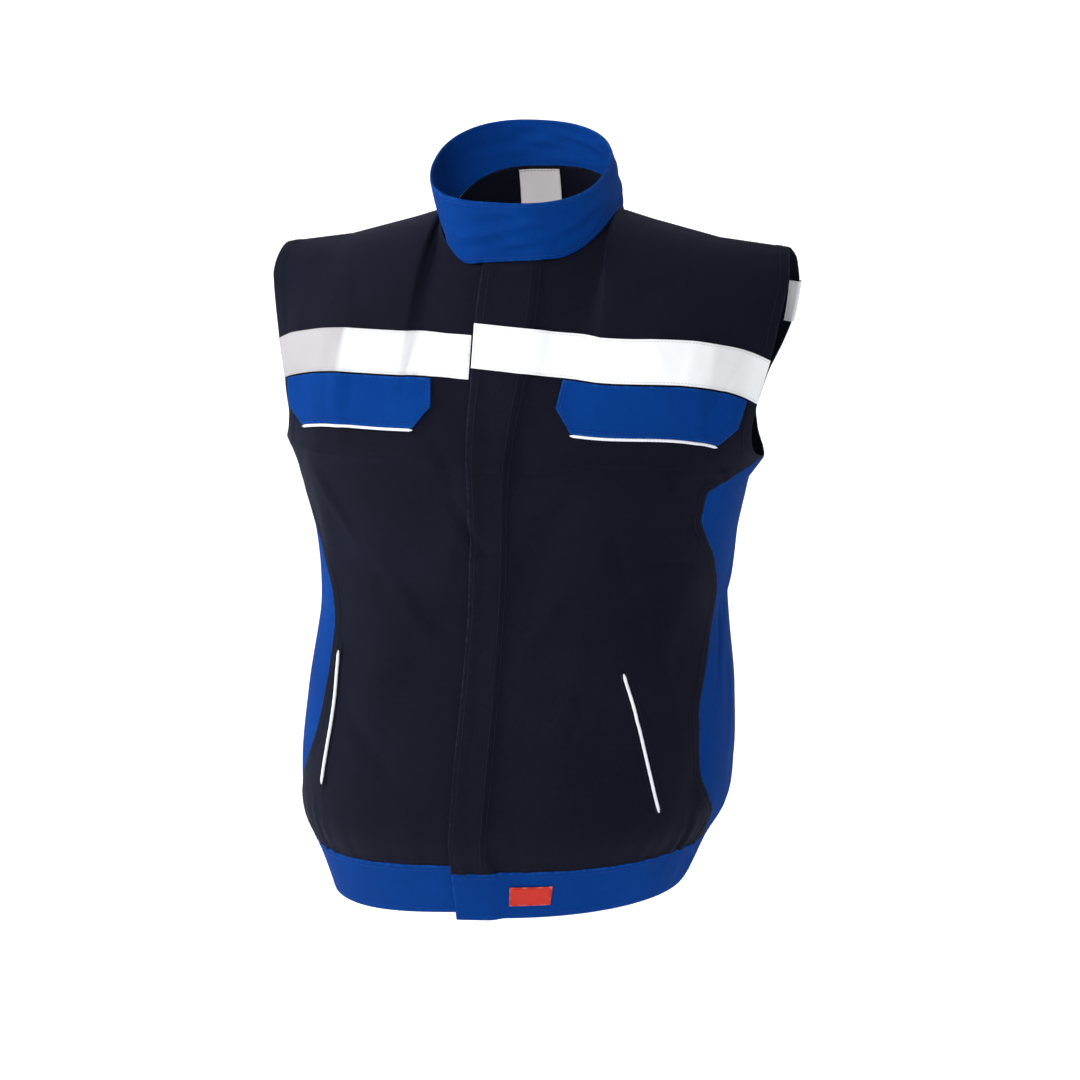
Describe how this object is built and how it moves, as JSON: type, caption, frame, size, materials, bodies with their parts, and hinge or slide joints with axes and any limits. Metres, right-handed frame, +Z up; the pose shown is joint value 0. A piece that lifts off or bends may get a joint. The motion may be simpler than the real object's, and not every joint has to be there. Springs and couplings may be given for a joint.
{
  "type": "flame-resistant vest",
  "caption": "Sleeveless work vest of heavy cloth with stand collar, fly placket, chest pocket flaps, reflective chest tape and a lapped waistband, in its worn form.",
  "frame": {"origin": "midway between the two neck points, where the wearer's shoulders carry the vest", "axes": "+Z up, the front faces -Y, +X is the wearer's left"},
  "size_m": [0.5903, 0.3098, 0.8829],
  "materials": {
    "navy_cloth": "matte twill",
    "royal_cloth": "matte twill",
    "reflective_tape": "satin retroreflective tape",
    "light_piping": "smooth cord",
    "label_satin": "satin",
    "tab_weave": "woven"
  },
  "bodies": {
    "root": {"back_panel": "navy_cloth", "collar": "royal_cloth", "flap_left": "royal_cloth", "flap_piping_left": "light_piping", "flap_piping_right": "light_piping", "flap_right": "royal_cloth", "front_left": "navy_cloth", "front_right": "navy_cloth", "hem_tab": "tab_weave", "neck_label": "label_satin", "placket": "navy_cloth", "pocket_piping_left": "light_piping", "pocket_piping_right": "light_piping", "side_panel_left": "royal_cloth", "side_panel_right": "royal_cloth", "tape_back": "reflective_tape", "tape_left": "reflective_tape", "tape_right": "reflective_tape", "waistband_back": "royal_cloth", "waistband_left": "royal_cloth", "waistband_right": "royal_cloth"}
  },
  "joints": []
}
